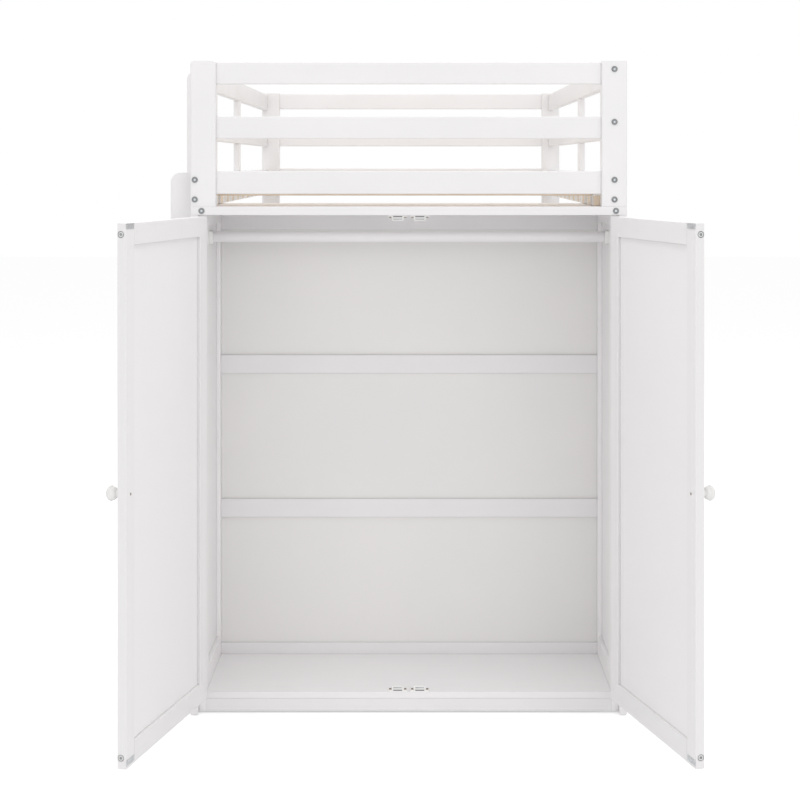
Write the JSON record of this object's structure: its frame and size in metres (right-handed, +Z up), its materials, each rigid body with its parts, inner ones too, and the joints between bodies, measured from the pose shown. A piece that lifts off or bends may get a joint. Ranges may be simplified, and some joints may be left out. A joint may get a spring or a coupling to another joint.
{
  "type": "loft bed with wardrobe",
  "caption": "Raised slatted single bed with guard rails and a side ladder, standing at one end on a wardrobe with paired framed doors.",
  "frame": {"origin": "on the floor, below the centre of the box round the bed with its doors open as stored", "axes": "+X across the bed from the ladder's side, +Y along the bed from the wardrobe's doors to the far end, +Z up"},
  "size_m": [1.3207, 2.545, 1.597],
  "materials": {
    "white_lacquer": "satin white lacquer on solid pine",
    "white_panel": "satin white lacquer on thin board",
    "bare_pine": "planed, unpainted",
    "zinc_steel": "zinc plated",
    "white_plastic": "moulded",
    "white_knob": "smooth white"
  },
  "bodies": {
    "bed": {"front_left_post": "white_lacquer", "front_right_post": "white_lacquer", "rear_left_post": "white_lacquer", "rear_right_post": "white_lacquer", "front_top_rail": "white_lacquer", "front_middle_rail": "white_lacquer", "front_low_rail": "white_lacquer", "rear_top_rail": "white_lacquer", "rear_middle_rail": "white_lacquer", "rear_low_rail": "white_lacquer", "left_bed_rail": "white_lacquer", "right_bed_rail": "white_lacquer", "slats": "bare_pine", "slat_bearers": "bare_pine", "slat_holders": "white_plastic", "left_top_guard": "white_lacquer", "left_middle_guard": "white_lacquer", "right_top_guard": "white_lacquer", "right_middle_guard": "white_lacquer", "guard_balusters": "white_lacquer", "ladder_near_stringer": "white_lacquer", "ladder_far_stringer": "white_lacquer", "ladder_steps": "white_lacquer", "lower_stretchers": "white_lacquer", "left_side_stiles": "white_lacquer", "left_side_rails": "white_lacquer", "left_side_panel": "white_panel", "right_side_stiles": "white_lacquer", "right_side_rails": "white_lacquer", "right_side_panel": "white_panel", "back_rails": "white_lacquer", "back_panels": "white_panel", "front_strip": "white_lacquer", "wardrobe_top": "white_lacquer", "wardrobe_floor": "white_lacquer", "plinth": "white_lacquer", "hanging_rod": "white_lacquer", "rod_sockets": "white_plastic", "magnet_catches": "white_plastic", "catch_screws": "zinc_steel", "frame_bolts": "zinc_steel", "barrel_nuts": "zinc_steel", "frame_hinge_leaves": "zinc_steel", "hinge_pins": "zinc_steel"},
    "left_door": {"left_door_stiles": "white_lacquer", "left_door_rails": "white_lacquer", "left_door_panel": "white_panel", "left_knob": "white_knob", "left_strike_plates": "zinc_steel", "left_door_screws": "zinc_steel", "left_door_bolts": "zinc_steel", "left_door_hinge_leaves": "zinc_steel"},
    "right_door": {"right_door_stiles": "white_lacquer", "right_door_rails": "white_lacquer", "right_door_panel": "white_panel", "right_knob": "white_knob", "right_strike_plates": "zinc_steel", "right_door_screws": "zinc_steel", "right_door_bolts": "zinc_steel", "right_door_hinge_leaves": "zinc_steel"}
  },
  "joints": [
    {"name": "left_door_hinge", "type": "hinge", "parent": "bed", "child": "left_door", "pos_m": [-0.513, -0.7687, 0.631], "axis": [0, 0, 1], "range_deg": [-67, 103]},
    {"name": "right_door_hinge", "type": "hinge", "parent": "bed", "child": "right_door", "pos_m": [0.513, -0.7687, 0.631], "axis": [0, 0, -1], "range_deg": [-65.5, 104.5]}
  ]
}
